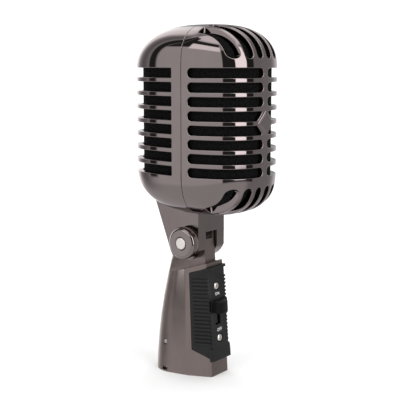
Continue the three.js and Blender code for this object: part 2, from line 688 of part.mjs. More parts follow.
function switchCover() {
  const ribs = [];
  for (let i = 0; i < RIB_COUNT; i += 1) {
    [-1, 1].forEach((side) => ribs.push(rib(side, RIB_LOWEST + i * RIB_PITCH)));
  }
  const skirt = shapeOf([
    [behind(-GAP), COVER_BOTTOM], [behind(-3), COVER_BOTTOM], [behind(-3), COVER_BOTTOM + 2],
    [behind(-1), COVER_BOTTOM + 7.4], [behind(-GAP), COVER_BOTTOM + 7.4],
  ]);
  const lip = prismZ(lipOutline(9.0, 2.6), 0, 30).intersect(prismX(skirt, -FAR, FAR));
  const topLip = prismZ(lipOutline(8.7, 2.2), COVER_TOP - 1.5, COVER_TOP - 0.2);
  const deep = [behind(-5), behind(5)];
  const slot = block([-SLIDE_SLOT_HALF, SLIDE_SLOT_HALF], deep, [SLIDE_SLOT_SPAN[0], SLIDE_SLOT_SPAN[1]]);
  const slotFoot = block([-3.2, SLIDE_SLOT_HALF], deep, [SLIDE_SLOT_SPAN[0] - 0.9, SLIDE_SLOT_SPAN[0] + 0.3]);
  const holes = Object.values(SCREW_HEIGHTS).map((height) => {
    const seat = alongBase(2.4, 1.35 - panelAt(height), -5, height);
    return alongBase(1.4, 5, -5, height, 12).add(seat);
  });
  const solid = join([coverBlock(0), ...ribs, lip, topLip]);
  return solid.subtract(join([coverHollow(), slot, slotFoot, ...holes]));
}

// thumb piece on a thin flange, drooping forward
function knob() {
  const plan = shapeOf([
    [-KNOB_FLANGE_HALF, behind(-KNOB_ROOT)], [-KNOB_FLANGE_HALF, behind(-KNOB_FLANGE)],
    [-KNOB_HALF, behind(-KNOB_FLANGE)], [-KNOB_HALF, behind(-KNOB_TIP + 1.6)],
    [-KNOB_HALF + 0.5, behind(-KNOB_TIP + 0.5)], [-KNOB_HALF + 1.6, behind(-KNOB_TIP)],
    [KNOB_HALF - 1.6, behind(-KNOB_TIP)], [KNOB_HALF - 0.5, behind(-KNOB_TIP + 0.5)],
    [KNOB_HALF, behind(-KNOB_TIP + 1.6)], [KNOB_HALF, behind(-KNOB_FLANGE)],
    [KNOB_FLANGE_HALF, behind(-KNOB_FLANGE)], [KNOB_FLANGE_HALF, behind(-KNOB_ROOT)],
  ]);
  const fall = (KNOB_TIP - KNOB_ROOT) * KNOB_DROOP;
  const [low, high] = KNOB_SPAN;
  const side = shapeOf([
    [behind(-KNOB_ROOT), low], [behind(-KNOB_ROOT), high],
    [behind(-KNOB_TIP), high - fall], [behind(-KNOB_TIP), low - fall],
  ]);
  return prismZ(plan, 0, 100).intersect(prismX(side, -FAR, FAR));
}

// how far the cover's front stands ahead of the base's front face
function panelAt(height) {
  return mix(COVER_FRONT.bottom, COVER_FRONT.top, (height - COVER_BOTTOM) / (COVER_TOP - COVER_BOTTOM));
}

function coverScrew(height) {
  const seat = panelAt(height) - 1.1;
  return turned([
    [0, -7.5], [1.1, -7.5], [1.1, seat], [2.05, seat], [2.05, seat + 0.7], [1.5, seat + 1.2],
    [0, seat + 1.35],
  ], 'front', 20).translate([0, behind(0), height]);
}

function switchPieces(add) {
  add('switch_cover', switchCover(), BLACK_PLASTIC);
  add('switch_knob', knob(), BLACK_PLASTIC);
  add('switch_actuator', block([-1, 1], [behind(-KNOB_ROOT + GAP), behind(3.3)], ACTUATOR_SPAN), BLACK_PLASTIC);
  add('switch_body', block([-5.2, 5.2], [behind(3.6), behind(11)], [26, 47.6]), STEEL);
  add('cover_screw_upper', coverScrew(SCREW_HEIGHTS.upper), STEEL);
  add('cover_screw_lower', coverScrew(SCREW_HEIGHTS.lower), STEEL);
}

// window for the release tab of the plug's latch
function latchWindow() {
  return block([-FAR, 0], [-LATCH_HALF_WIDTH, LATCH_HALF_WIDTH], LATCH_SPAN);
}

function outletPieces(add) {
  const place = (solid) => solid.translate([0, behind(OUTLET_CENTRE), 0]);
  const shell = tube(OUTLET_RADIUS, OUTLET_SHELL_RADIUS, 0.2, OUTLET_SHELL_HEIGHT, 'z', 32);
  add('outlet_shell', place(shell.subtract(latchWindow())), STEEL);
  const pins = PIN_ANGLES.map((degrees) => {
    const angle = THREE.MathUtils.degToRad(degrees);
    return [PIN_CIRCLE * Math.cos(angle), PIN_CIRCLE * Math.sin(angle)];
  });
  const sockets = pins.map(([x, y]) => rod(PIN_RADIUS + GAP, 0, 30, 'z', 12).translate([x, y, 0]));
  const disc = rod(OUTLET_RADIUS - GAP, OUTLET_DEPTH, OUTLET_SHELL_HEIGHT + 0.8, 'z', 36);
  add('outlet_insulator', place(disc.subtract(join(sockets))), BLACK_PLASTIC);
  pins.forEach(([x, y], i) => {
    const pin = turned([
      [0, 1.6], [0.6, 1.6], [PIN_RADIUS, 2.6], [PIN_RADIUS, 19.4], [0, 19.4],
    ], 'z', 14);
    add(`outlet_pin_${i + 1}`, place(pin.translate([x, y, 0])), BRASS);
  });
  const screw = turned([[0, 9.2], [1.4, 9.2], [1.4, 10.1], [0.9, 10.4], [0, 10.4]], 'x', 16);
  add('outlet_screw', place(screw.mirror([1, 0, 0]).translate([0, 0, OUTLET_SCREW_HEIGHT])), STEEL);
}

function basePieces(add) {
  add('base_housing', baseHousing(), GUNMETAL);
  const bush = tube(STAND_BORE_RADIUS, STAND_BUSH_RADIUS, 0.1, STAND_BUSH_HEIGHT, 'z', 32);
  add('stand_bush', bush.translate([0, behind(STAND_CENTRE), 0]), BRASS);
  switchPieces(add);
  outletPieces(add);
  add('transformer', block([-4.6, 4.6], [behind(14), behind(26)], [26, 44]), DARK_STEEL);
}

// ---------- assembly ----------

function adder(group) {
  return (name, solid, look) => {
    const mesh = new THREE.Mesh(toGeometry(solid), new THREE.MeshStandardMaterial(look));
    mesh.name = name;
    group.add(mesh);
  };
}

const microphone = new THREE.Group();
const tilting = new THREE.Group();
const head = new THREE.Group();
tilting.position.set(0, behind(PIVOT_BEHIND_FRONT), PIVOT_HEIGHT);
tilting.rotation.x = THREE.MathUtils.degToRad(REST_TILT);
head.position.set(0, -SEAM_AHEAD_OF_PIVOT, SLOT_MIDDLE_ABOVE_PIVOT);
tilting.add(head);
microphone.add(tilting);

basePieces(adder(microphone));
hingePieces(adder(tilting));
headPieces(adder(head));
capsulePieces(adder(head));
YOKE_SCREW_PLACES.forEach((place, i) => adder(head)(`yoke_screw_${i + 1}`, yokeScrew(place), STEEL));

export default microphone;
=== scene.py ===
import math

import bmesh
import bpy
import numpy as np
from mathutils import Matrix, Vector
from mathutils.geometry import delaunay_2d_cdt


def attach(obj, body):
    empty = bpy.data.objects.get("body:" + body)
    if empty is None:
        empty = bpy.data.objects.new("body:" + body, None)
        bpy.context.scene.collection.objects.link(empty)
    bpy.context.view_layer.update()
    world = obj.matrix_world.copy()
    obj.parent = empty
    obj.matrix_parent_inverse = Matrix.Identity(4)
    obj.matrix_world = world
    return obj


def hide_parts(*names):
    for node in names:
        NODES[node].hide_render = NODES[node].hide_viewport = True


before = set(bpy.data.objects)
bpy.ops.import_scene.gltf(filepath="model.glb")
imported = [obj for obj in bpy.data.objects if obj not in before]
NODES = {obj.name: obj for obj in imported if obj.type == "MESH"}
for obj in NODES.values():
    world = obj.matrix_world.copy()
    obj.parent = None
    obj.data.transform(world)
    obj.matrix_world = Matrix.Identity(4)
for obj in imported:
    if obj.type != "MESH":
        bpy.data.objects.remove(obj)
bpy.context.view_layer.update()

MM = 0.001

# ---------- placing things ----------

REST_TILT = math.radians(3.88)
PIVOT = (0.0, -12.1, 78.1)
SEAM_AHEAD = 8.8
SLOTS_ABOVE_PIVOT = 67.73
BASE_ORIGIN = 21.0

# pivot axes to the row frame, and head axes (seam plane, middle of the slots) to the row frame
HINGE = Matrix.Translation(PIVOT) @ Matrix.Rotation(REST_TILT, 4, "X")
HEAD = HINGE @ Matrix.Translation((0, -SEAM_AHEAD, SLOTS_ABOVE_PIVOT))
BASE = Matrix.Translation((0, -BASE_ORIGIN, 0))


def link(obj):
    bpy.context.scene.collection.objects.link(obj)


# ---------- camera ----------

# millimetres, and degrees from +X, below the horizon and to the left
SENSOR, LENS = 36.0, 77.09
CAMERA_PLACE = (-374.74, -315.29, 157.94)
CAMERA_HEADING, CAMERA_DIP, CAMERA_YAW = 37.57, 9.26, 0.8895315


def add_camera():
    """camera at the photograph's viewing angle, tilted with the head's frame"""
    data = bpy.data.cameras.new("camera")
    data.sensor_width = SENSOR
    data.lens = LENS
    data.clip_start = 0.02
    data.clip_end = 20
    camera = bpy.data.objects.new("camera", data)
    link(camera)
    heading, dip, yaw = (math.radians(angle) for angle in (CAMERA_HEADING, CAMERA_DIP, CAMERA_YAW))
    ahead = Vector((math.cos(heading), math.sin(heading), 0))
    right = Vector((math.sin(heading), -math.cos(heading), 0))
    look = ahead * math.cos(yaw) - right * math.sin(yaw)
    side = right * math.cos(yaw) + ahead * math.sin(yaw)
    forward = look * math.cos(dip) - Vector((0, 0, math.sin(dip)))
    up = Vector((0, 0, math.cos(dip))) + look * math.sin(dip)
    turn = Matrix.Rotation(REST_TILT, 3, "X") @ Matrix((side, up, -forward)).transposed()
    camera.matrix_world = Matrix.Translation(Vector(CAMERA_PLACE) * MM) @ turn.to_4x4()
    bpy.context.scene.camera = camera


add_camera()

# ---------- mesh helpers ----------


def place(points, matrix):
    m = np.array(matrix)
    return (points @ m[:3, :3].T + m[:3, 3]) * MM


def add_mesh(name, points, faces, body, material, matrix=Matrix.Identity(4), normals=None,
             replaces=(), sharp=None):
    """points in millimetres in the axes that matrix takes to the row frame"""
    mesh = bpy.data.meshes.new(name)
    placed = place(np.asarray(points, float), matrix)
    mesh.from_pydata(placed.tolist(), [], [list(map(int, f)) for f in faces])
    mesh.materials.append(material)
    mesh.shade_smooth()
    if sharp is not None:
        mesh.set_sharp_from_angle(angle=math.radians(sharp))
    if normals is not None:
        turned = np.asarray(normals, float) @ np.array(matrix)[:3, :3].T
        mesh.normals_split_custom_set_from_vertices(turned.tolist())
    obj = bpy.data.objects.new(name, mesh)
    link(obj)
    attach(obj, body)
    if replaces:
        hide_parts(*replaces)
    return obj


def facing_out(points, faces, normals):
    """turns each face to the side its vertices' normals point to"""
    out = []
    for face in faces:
        a, b, c = (points[i] for i in face[:3])
        if np.dot(np.cross(b - a, c - a), normals[list(face)].sum(axis=0)) < 0:
            face = face[::-1]
        out.append(face)
    return out


def inside(points, polygon):
    """even-odd test of 2-D points against a closed polygon"""
    x, y = points[:, 0], points[:, 1]
    result = np.zeros(len(points), bool)
    x0, y0 = polygon[-1]
    for x1, y1 in polygon:
        crosses = (y0 > y) != (y1 > y)
        if crosses.any():
            at = (x1 - x0) * (y - y0) / (y1 - y0 + 1e-300) + x0
            result ^= crosses & (x < at)
        x0, y0 = x1, y1
    return result


def unit(vectors):
    return vectors / np.linalg.norm(vectors, axis=-1, keepdims=True)


def densify(points, step):
    """extra points along a closed polyline so that no stretch is longer than step"""
    out = []
    for a, b in zip(points, np.roll(points, -1, axis=0)):
        parts = max(1, math.ceil(np.linalg.norm(b - a) / step))
        out.extend(a + (b - a) * i / parts for i in range(parts))
    return np.array(out)


def rounded(points, radii, segments=6):
    """closed polygon with its corners rounded"""
    out = []
    count = len(points)
    for i in range(count):
        before, at, after = (np.array(points[(i + k) % count], float) for k in (-1, 0, 1))
        u, v = unit(before - at), unit(after - at)
        half = math.acos(max(-1, min(1, float(u @ v)))) / 2
        radius = radii[i]
        reach = radius / math.tan(half)
        centre = at + unit(u + v) * radius / math.sin(half)
        start = at + u * reach - centre
        end = at + v * reach - centre
        a0 = math.atan2(start[1], start[0])
        a1 = math.atan2(end[1], end[0])
        turn = (a1 - a0 + math.pi) % (2 * math.pi) - math.pi
        for k in range(segments + 1):
            angle = a0 + turn * k / segments
            out.append(centre + radius * np.array([math.cos(angle), math.sin(angle)]))
    return np.array(out)


POINTS_AT_ONCE = 2000


class Skin:
    """A curved sheet with openings whose rims are rounded and have walls going in."""

    def __init__(self):
        self.points, self.normals, self.flat, self.faces = [], [], [], []
        self.loops = []

    def add(self, points, normals, flat=None):
        start = len(self.points)
        self.points.extend(points)
        self.normals.extend(normals)
        self.flat.extend(flat if flat is not None else [None] * len(points))
        return list(range(start, start + len(points)))

    def strip(self, a, b):
        for i in range(len(a)):
            j = (i + 1) % len(a)
            self.faces.append((a[i], a[j], b[j], b[i]))

    def rim(self, edge, normal, away, inward, radius, depth, flat_of, bend=4):
        """edge: the sharp outline; away: along the sheet, out of the opening; inward: the wall's way"""
        wall = unit((away * inward).sum(axis=1)[:, None] * inward - away)
        rings = []
        for k in range(bend + 1):
            angle = math.pi / 2 * k / bend
            up = normal * math.cos(angle) - away * math.sin(angle)
            ring = edge + radius * away - radius * normal + radius * up
            shown = unit(normal * math.cos(angle) + wall * math.sin(angle))
            rings.append(self.add(ring, shown, flat_of(ring) if k == 0 else None))
        rings.append(self.add(edge + inward * depth, wall))
        for a, b in zip(rings, rings[1:]):
            self.strip(a, b)
        self.loops.append(rings[0])

    def fill(self, outer, grid, grid_normals, grid_flat, clear):
        """triangles between the outer loop, the openings' loops and the grid's points"""
        holes = [loop for loop in self.loops if loop is not outer]
        flats = {id(loop): np.array([self.flat[i] for i in loop]) for loop in self.loops}
        keep = inside(grid_flat, flats[id(outer)])
        for loop in holes:
            keep &= ~inside(grid_flat, flats[id(loop)])
        border = np.array([self.points[i] for loop in self.loops for i in loop])
        for start in range(0, len(grid), POINTS_AT_ONCE):
            part = slice(start, start + POINTS_AT_ONCE)
            gap = ((grid[part, None, :] - border[None, ::2, :]) ** 2).sum(axis=2).min(axis=1)
            keep[part] &= gap > clear ** 2
        free = self.add(grid[keep], grid_normals[keep], grid_flat[keep])
        index = [i for loop in self.loops for i in loop] + free
        spot = {v: k for k, v in enumerate(index)}
        edges = [(spot[a], spot[b]) for loop in self.loops for a, b in zip(loop, loop[1:] + loop[:1])]
        flat = np.array([self.flat[i] for i in index])
        verts, _, faces, origin, _, _ = delaunay_2d_cdt([Vector(p) for p in flat], edges, [], 0, 1e-9)
        back = [index[o[0]] if o else None for o in origin]
        assert all(b is not None for b in back), "outlines cross"
        spots = np.array([list(v) for v in verts])
        faces = np.array(list(faces))
        middle = spots[faces].mean(axis=1)
        good = inside(middle, flats[id(outer)])
        for loop in holes:
            good &= ~inside(middle, flats[id(loop)])
        self.faces.extend(tuple(back[v] for v in face) for face in faces[good])

    def result(self):
        points, normals = np.array(self.points), np.array(self.normals)
        return points, facing_out(points, self.faces, normals), normals


# ---------- materials ----------

def feed(tree, socket, value):
    """links another node's output to the socket, or sets the socket's value"""
    if hasattr(value, "links"):
        tree.links.new(value, socket)
    else:
        socket.default_value = value


def new_node(tree, kind, inputs=(), **settings):
    """a shader node with its settings made before its inputs are fed"""
    node = tree.nodes.new(kind)
    for key, value in settings.items():
        setattr(node, key, value)
    for key, value in dict(inputs).items():
        feed(tree, node.inputs[key], value)
    return node


class Graph:
    """A material's node graph, in the object's own coordinates."""

    def __init__(self, name):
        self.material = bpy.data.materials.new(name)
        self.material.use_nodes = True
        self.tree = self.material.node_tree
        self.shader = next(n for n in self.tree.nodes if n.type == "BSDF_PRINCIPLED")
        self.coords = self.node("ShaderNodeTexCoord").outputs["Object"]

    def node(self, kind, inputs=(), **settings):
        return new_node(self.tree, kind, inputs, **settings)

    def noise(self, scale, detail=3.0, stretch=(1, 1, 1)):
        where = self.node("ShaderNodeMapping", {"Vector": self.coords, "Scale": stretch}).outputs["Vector"]
        inputs = {"Vector": where, "Scale": scale, "Detail": detail}
        return self.node("ShaderNodeTexNoise", inputs).outputs["Fac"]

    def ramp(self, value, low, high, out_low, out_high):
        node = self.node("ShaderNodeMapRange", {
            "Value": value, "From Min": low, "From Max": high, "To Min": out_low, "To Max": out_high})
        return node.outputs["Result"]

    def mix(self, value, dark, light):
        node = self.node("ShaderNodeMix", {"Factor": value}, data_type="RGBA")
        node.inputs["A"].default_value = (*dark, 1)
        node.inputs["B"].default_value = (*light, 1)
        return node.outputs["Result"]

    def bump(self, height, distance, strength=1.0):
        node = self.node("ShaderNodeBump", {"Height": height, "Distance": distance, "Strength": strength})
        return node.outputs["Normal"]

    def set(self, **inputs):
        for key, value in inputs.items():
            feed(self.tree, self.shader.inputs[key.replace("_", " ")], value)


# height of the plating's orange peel, in metres
RIPPLE = 0.00001


def plated(name, dark, light, rough):
    """polished plating over a casting: faint orange peel, haze and fine polishing marks"""
    g = Graph(name)
    haze = g.noise(60, 4)
    fine = g.noise(900, 2, (1, 1, 0.15))
    both = g.node("ShaderNodeMath", {0: haze, 1: fine}, operation="MULTIPLY").outputs[0]
    g.set(Base_Color=g.mix(g.ramp(haze, 0.3, 0.7, 0, 1), dark, light), Metallic=1.0,
          Roughness=g.ramp(both, 0.12, 0.4, rough * 0.8, rough * 1.35),
          Normal=g.bump(g.noise(140, 2), RIPPLE, 0.6))
    return g.material


def metal(name, dark, light, rough, scale=400, grain=0.00002):
    """bare or plated metal with a fine grain"""
    g = Graph(name)
    grit = g.noise(scale, 4)
    g.set(Base_Color=g.mix(g.ramp(grit, 0.3, 0.7, 0, 1), dark, light), Metallic=1.0,
          Roughness=g.ramp(grit, 0.3, 0.7, rough * 0.8, rough * 1.3),
          Normal=g.bump(grit, grain, 0.5))
    return g.material


def plastic(name, dark, light, rough, scale=1500, grain=0.00003, gloss=0.3):
    """moulded plastic with a fine spark-eroded texture"""
    g = Graph(name)
    grit = g.noise(scale, 3)
    broad = g.noise(45, 3)
    g.set(Base_Color=g.mix(g.ramp(broad, 0.3, 0.7, 0, 1), dark, light),
          Roughness=g.ramp(grit, 0.3, 0.7, rough * 0.85, rough * 1.15),
          Normal=g.bump(grit, grain, 0.6), Specular_IOR_Level=gloss)
    return g.material


def foam(name):
    """black foam with open cells"""
    g = Graph(name)
    cells = g.node("ShaderNodeTexVoronoi", {"Vector": g.coords, "Scale": 900.0}).outputs["Distance"]
    g.set(Base_Color=g.mix(g.ramp(cells, 0.0, 0.7, 0, 1), (0.001, 0.001, 0.001), (0.006, 0.006, 0.006)),
          Roughness=0.95, Normal=g.bump(cells, 0.0003, 1.0), Specular_IOR_Level=0.1)
    return g.material


GUNMETAL = plated("gunmetal_plate", (0.212, 0.178, 0.178), (0.232, 0.196, 0.196), 0.035)
YOKE_METAL = plated("yoke_plate", (0.175, 0.147, 0.145), (0.195, 0.165, 0.163), 0.05)
BASE_METAL = plated("base_plate", (0.200, 0.162, 0.152), (0.220, 0.180, 0.169), 0.34)
BRIGHT = metal("bright_screw", (0.78, 0.74, 0.71), (0.82, 0.78, 0.75), 0.3, 500, 0.000002)
STEEL = metal("bright_steel", (0.72, 0.71, 0.70), (0.84, 0.83, 0.82), 0.12)
# dark steel for the inner parts; on the outlet screw its darkness is painted shade of the hole the screw sits
# in
DARK_STEEL_AND_HOLE_SHADE = metal("dark_steel", (0.30, 0.29, 0.28), (0.42, 0.41, 0.40), 0.35)
BRASS = metal("brass", (0.60, 0.42, 0.18), (0.74, 0.56, 0.28), 0.25)
COPPER = metal("copper_wire", (0.55, 0.25, 0.12), (0.75, 0.40, 0.22), 0.3)
PLASTIC = plastic("black_plastic", (0.006, 0.006, 0.007), (0.010, 0.010, 0.011), 0.40)
KNOB_PLASTIC = plastic("knob_plastic", (0.002, 0.002, 0.002), (0.004, 0.004, 0.004), 0.42, gloss=0.12)
NYLON = plastic("washer_plastic", (0.10, 0.08, 0.06), (0.15, 0.12, 0.09), 0.4)
FILM = plastic("film", (0.70, 0.66, 0.56), (0.80, 0.76, 0.66), 0.3, 600, 0.00001)
RUBBER = plastic("rubber", (0.012, 0.012, 0.012), (0.02, 0.02, 0.02), 0.75)
FOAM = foam("black_foam")
PRINT = plastic("white_print", (0.55, 0.55, 0.55), (0.65, 0.65, 0.65), 0.5)

# ---------- head ----------

HALF_WIDTH, FRONT, REAR = 28.06, 34.57, 43.63
BARREL_TOP, BARREL_BOTTOM = 27.19, -25.78
TOP_HEIGHT, BOTTOM_HEIGHT = 24.49, 25.6
# powers of the superellipses, for the front (-1), the seam (0) and the rear (1)
PLAN_POWER = {-1: 2.55, 1: 3.36}
TOP_POWER = {0: 3.0, -1: 2.53, 1: 2.18}
BOTTOM_POWER = {0: 2.9, -1: 2.87, 1: 2.31}
# cosine from the centre line at which a dome has its front or rear power in full
FULL_POWER_FROM = 0.84
# how head_flat spreads the surface
FLAT_SQUASH, FLAT_SCALE = 0.5, 40
WALL, SLOT_DEPTH, FIN_DEPTH = 2.5, 3.2, 4.4
SLOT_COUNT, SLOT_PITCH, SLOT_HALF = 8, 7.42, 2.5
# along the plan of the front and the rear half: from the centre line to a slot, and from it to the seam
SLOT_START, SLOT_END = {-1: 1.9, 1: 4.0}, {-1: 4.2, 1: 6.7}
SLOT_CORNER = {-1: 2.49, 1: 0.5}
# the pad under the emblem cuts the two middle slots
PAD_HALF_WIDTH, PAD_HALF_HEIGHT, PAD_CORNER = 8.0, 7.9, 1.6
SEAM_GAP, SEAM_RIM, SLOT_RIM = 0.12, 0.25, 0.45
FRONT_FOAM_INSET, REAR_FOAM_INSET = 2.8, 3.5


def powers(side, cosine, above):
    """power of the dome's curve, from the seam's to the front's or the rear's"""
    table = TOP_POWER if above else BOTTOM_POWER
    share = np.minimum(1, (np.abs(cosine) / FULL_POWER_FROM) ** 2)
    return table[0] + (table[side] - table[0]) * share


def plan_radius(points, side, inset=0.0):
    """how far out of the plan outline a point is (1 on it), and the cosine that sets the dome's power"""
    n = PLAN_POWER[side]
    across = np.abs(points[:, 0]) / (HALF_WIDTH - inset)
    along = np.abs(points[:, 1]) / ((FRONT if side < 0 else REAR) - inset)
    radius = (across ** n + along ** n) ** (1 / n)
    return radius, (along / np.maximum(radius, 1e-9)) ** (n / 2)


def head_value(points, side, inset=0.0):
    """0 on the head's outside, positive outside it"""
    radius, cosine = plan_radius(points, side, inset)
    z = points[:, 2]
    power = np.where(z > 0, powers(side, cosine, True), powers(side, cosine, False))
    rise = np.where(z > 0, (z - BARREL_TOP) / (TOP_HEIGHT - inset),
                    (BARREL_BOTTOM - z) / (BOTTOM_HEIGHT - inset))
    return (radius ** power + np.maximum(rise, 0) ** power) ** (1 / power) - 1


def head_gradient(points, side, inset=0.0, step=0.004):
    columns = []
    for axis in range(3):
        shift = np.zeros(3)
        shift[axis] = step
        ahead = head_value(points + shift, side, inset)
        behind = head_value(points - shift, side, inset)
        columns.append((ahead - behind) / (2 * step))
    return np.stack(columns, axis=1)


def head_normals(points, side, inset=0.0):
    safe = points.copy()
    safe[:, 1] = side * np.maximum(np.abs(safe[:, 1]), 0.01)
    return unit(head_gradient(safe, side, inset))


def onto_head(points, side, hold=None, inset=0.0):
    """moves points to the head's outside, keeping one coordinate"""
    points = points.copy()
    for _ in range(6):
        slope = head_gradient(points, side, inset)
        if hold is not None:
            slope[:, hold] = 0
        value = head_value(points, side, inset)
        points -= (value / (slope ** 2).sum(axis=1))[:, None] * slope
    return points


def head_plan(side, inset=0.0, count=4000):
    """table from arc length, from the centre line to the seam, to plan angle"""
    angle = np.linspace(0, math.pi / 2, count)
    x, y = head_outline(angle, side, inset)
    length = np.concatenate([[0], np.cumsum(np.hypot(np.diff(x), np.diff(y)))])
    return length, angle


def head_outline(angle, side, inset=0.0):
    """x and y of the barrel's plan at plan angle (0 at the centre line)"""
    n = PLAN_POWER[side]
    depth = (FRONT if side < 0 else REAR) - inset
    x = (HALF_WIDTH - inset) * np.sign(np.sin(angle)) * np.abs(np.sin(angle)) ** (2 / n)
    y = side * depth * np.abs(np.cos(angle)) ** (2 / n)
    return x, y


def head_point(angle, height, side, inset=0.0):
    """points at plan angle (0 at the centre line, signed across) and height"""
    above = height > 0
    rise = np.where(above, (height - BARREL_TOP) / (TOP_HEIGHT - inset),
                    (BARREL_BOTTOM - height) / (BOTTOM_HEIGHT - inset))
    cosine = np.abs(np.cos(angle))
    power = np.where(above, powers(side, cosine, True), powers(side, cosine, False))
    shrink = (1 - np.clip(rise, 0, 1) ** power) ** (1 / power)
    x, y = head_outline(angle, side, inset)
    return np.stack([x * shrink, y * shrink, height], axis=1)


def head_flat(points, side):
    """spreads half of the head on a plane, from a point on its axis"""
    x, z = points[:, 0], points[:, 2] * FLAT_SQUASH
    reach = np.hypot(x, z)
    out = np.arctan2(reach, side * points[:, 1])
    scale = np.where(reach > 1e-9, out / np.maximum(reach, 1e-9),
                     1 / np.maximum(side * points[:, 1], 1e-9))
    return np.stack([x * scale, z * scale], axis=1) * FLAT_SCALE


BARREL_ROWS, DOME_ROWS = 47, 36


def head_grid(side, spacing=1.15, inset=0.0):
    """points over half of the head: level rows up the barrel, then rows over each dome"""
    length, angle = head_plan(side, inset)

    def plan_angles(shrink):
        count = max(3, int(length[-1] * shrink / spacing))
        along = np.linspace(-length[-1], length[-1], 2 * count + 1)
        return np.sign(along) * np.interp(np.abs(along), length, angle)

    found = []
    for height in np.linspace(BARREL_BOTTOM, BARREL_TOP, BARREL_ROWS):
        t = plan_angles(1.0)
        found.append(head_point(t, np.full(len(t), height), side, inset))
    for above in (True, False):
        for climb in np.linspace(0, math.pi / 2, DOME_ROWS)[1:-1]:
            t = plan_angles(max(0.05, math.cos(climb) ** 0.8))
            found.append(dome_row(t, climb, above, side, inset))
    return np.concatenate(found)


def dome_row(t, climb, above, side, inset):
    """points at plan angles t, climb radians up the dome"""
    power = powers(side, np.cos(t), above)
    lift = math.sin(climb) ** (2 / power)
    top = BARREL_TOP + (TOP_HEIGHT - inset) * lift
    bottom = BARREL_BOTTOM - (BOTTOM_HEIGHT - inset) * lift
    x, y = head_outline(t, side, inset)
    shrink = math.cos(climb) ** (2 / power)
    return np.stack([x * shrink, y * shrink, top if above else bottom], axis=1)


def seam_outline(side):
    """closed outline of half of the head beside the seam"""
    climb = np.linspace(0, math.pi / 2, 34)
    z_top = BARREL_TOP + TOP_HEIGHT * np.sin(climb) ** (2 / TOP_POWER[0])
    x_top = HALF_WIDTH * np.cos(climb) ** (2 / TOP_POWER[0])
    z_low = BARREL_BOTTOM - BOTTOM_HEIGHT * np.sin(climb) ** (2 / BOTTOM_POWER[0])
    x_low = HALF_WIDTH * np.cos(climb) ** (2 / BOTTOM_POWER[0])
    barrel = np.linspace(BARREL_BOTTOM, BARREL_TOP, 50)[1:-1]
    right = np.concatenate([
        np.stack([x_low[::-1], z_low[::-1]], 1)[1:],
        np.stack([np.full(len(barrel), HALF_WIDTH), barrel], 1),
        np.stack([x_top, z_top], 1)])
    left = right[::-1][1:] * [-1, 1]
    low_pole = np.array([[0, z_low[-1]]])
    outline = np.concatenate([low_pole, right, left])
    points = np.stack([outline[:, 0], np.full(len(outline), side * SEAM_GAP), outline[:, 1]], axis=1)
    return onto_head(points, side, hold=1)


def even(points, step):
    """closed 3-D outline at even spacing"""
    closed = np.concatenate([points, points[:1]])
    length = np.concatenate([[0], np.cumsum(np.linalg.norm(np.diff(closed, axis=0), axis=1))])
    count = max(8, int(length[-1] / step))
    at = np.linspace(0, length[-1], count + 1)[:-1]
    return np.stack([np.interp(at, length, closed[:, i]) for i in range(3)], axis=1)


def away_from(points, normals, middle):
    """along the sheet and square to the outline, away from the middle of the opening"""
    tangent = unit(np.roll(points, -1, axis=0) - np.roll(points, 1, axis=0))
    away = unit(np.cross(normals, tangent))
    if ((points - middle) * away).sum() < 0:
        away = -away
    return away


def side_slots(side):
    """outlines of the level slots, whose walls go in square to the surface (None)"""
    length, angle = head_plan(side)
    start, end, corner = SLOT_START[side], length[-1] - SLOT_END[side], SLOT_CORNER[side]
    middle = (SLOT_COUNT - 1) / 2
    outlines = []
    for i in range(SLOT_COUNT):
        height = (middle - i) * SLOT_PITCH
        low, high = height - SLOT_HALF, height + SLOT_HALF
        if side < 0 and abs(middle - i) < 1:
            near, far = (low, high) if i < middle else (high, low)
            cut = PAD_HALF_WIDTH * (1 - abs(near) / PAD_HALF_HEIGHT)
            corners = [(cut, near), (end, near), (end, far), (start + 0.05, far)]
            radii = [PAD_CORNER, corner, corner, 0.7]
        else:
            corners = [(start, low), (end, low), (end, high), (start, high)]
            radii = [corner] * 4
        flat = densify(rounded(corners, radii), 0.9)
        for mirror in (1, -1):
            t = mirror * np.interp(flat[:, 0], length, angle)
            outlines.append((head_point(t, flat[:, 1], side), None))
    return outlines


# (distance from the centre line, width) of the dome's slots on each side
DOME_SLOTS = [(3.9, 4.7), (11.4, 5.1), (19.0, 5.7)]
# (top or bottom, distance ahead of the seam where a slot starts, height where it ends)
DOMES = ((True, 6.6, 33.4), (False, 11.5, -34.0))


def dome_height(x, y, above):
    """height of the front of the head over a place in plan"""
    points = np.stack([x, y, np.zeros(len(x))], axis=1)
    radius, cosine = plan_radius(points, -1)
    power = powers(-1, cosine, above)
    lift = np.maximum(0, 1 - radius ** power) ** (1 / power)
    return BARREL_TOP + TOP_HEIGHT * lift if above else BARREL_BOTTOM - BOTTOM_HEIGHT * lift


def dome_depth(x, z):
    """y of the front of the head at a place seen from the front"""
    near, far = np.full(len(x), -0.5), np.full(len(x), -FRONT - 1)
    for _ in range(50):
        middle = (near + far) / 2
        out = head_value(np.stack([x, middle, z], axis=1), -1) > 0
        far = np.where(out, middle, far)
        near = np.where(out, near, middle)
    return (near + far) / 2


